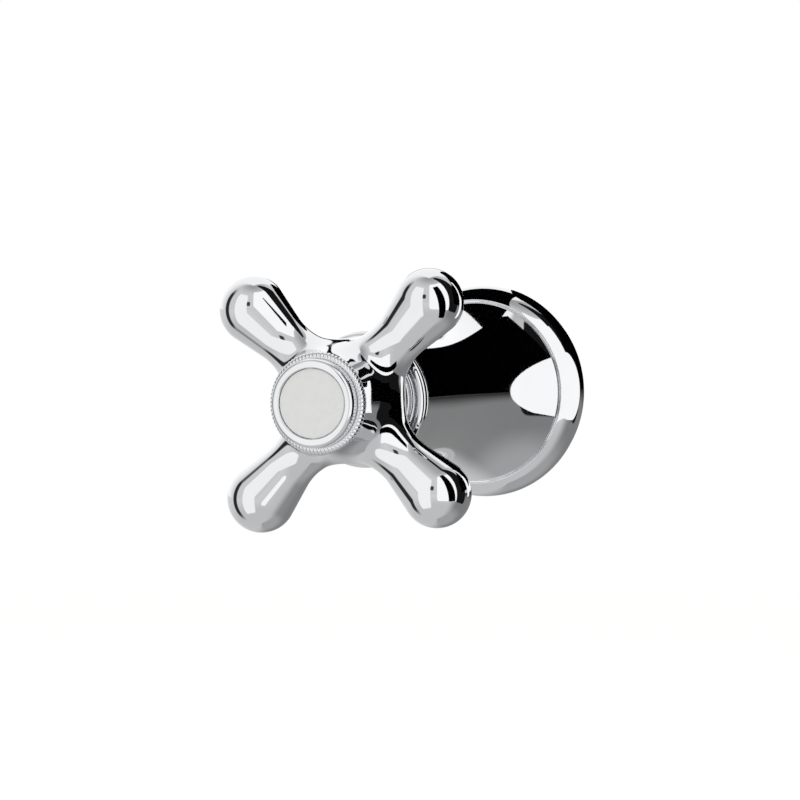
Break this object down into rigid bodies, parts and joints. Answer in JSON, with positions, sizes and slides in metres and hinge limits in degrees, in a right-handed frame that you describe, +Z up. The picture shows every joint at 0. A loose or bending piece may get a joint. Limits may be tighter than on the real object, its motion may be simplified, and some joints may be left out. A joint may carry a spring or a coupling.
{
  "type": "shut-off valve",
  "caption": "In-wall shut-off valve with a cross handle, round index cap, collar nut and a long trumpet wall flange, over a screw-down headwork in a brass body.",
  "frame": {"origin": "centre of the wall flange's back face, which lies on the wall", "axes": "+Y into the wall along the valve's axis, +Z up along the outlet, -Y out to the room"},
  "size_m": [0.0594, 0.1319, 0.0594],
  "materials": {
    "polished_chrome": "polished chrome plate",
    "satin_insert": "pale satin disc",
    "cast_brass": "sand blasted casting",
    "machined_brass": "turned",
    "stainless_steel": "turned stainless steel",
    "spring_steel": "blackened spring steel",
    "black_rubber": "matt rubber",
    "grey_foam": "closed-cell foam",
    "white_plastic": "unfilled acetal",
    "fibre_gasket": "red vulcanised fibre"
  },
  "bodies": {
    "valve": {"valve_body": "cast_brass", "valve_seat": "machined_brass", "bonnet": "machined_brass", "bonnet_gasket": "fibre_gasket", "thrust_washer": "white_plastic", "threaded_sleeve": "machined_brass", "sleeve_o_ring": "black_rubber", "guide_bush": "white_plastic", "collar_nut": "polished_chrome", "bell_flange": "polished_chrome", "wall_gasket": "grey_foam"},
    "handle": {"cross_handle": "polished_chrome", "handle_adapter": "machined_brass", "handle_screw_washer": "stainless_steel", "handle_screw": "stainless_steel", "rope_ring": "polished_chrome", "index_cap": "polished_chrome", "cap_o_ring": "black_rubber", "cap_insert": "satin_insert", "spindle_extension": "machined_brass", "extension_grub_screw": "spring_steel", "spindle": "machined_brass", "spindle_o_rings": "black_rubber", "spindle_circlip": "spring_steel"},
    "jumper": {"jumper": "machined_brass", "seat_washer": "black_rubber", "washer_screw": "stainless_steel"}
  },
  "joints": [
    {"name": "handle_turn", "type": "hinge", "parent": "valve", "child": "handle", "pos_m": [0, -0.0892, 0], "axis": [0, -1, 0], "range_deg": [0, 900]},
    {"name": "jumper_slide", "type": "slide", "parent": "valve", "child": "jumper", "axis": [0, -1, 0], "range_m": [0, 0.00501]}
  ],
  "couplings": [
    {"joint": "jumper_slide", "follows": "handle_turn", "m_per_rad": 0.00031831}
  ]
}
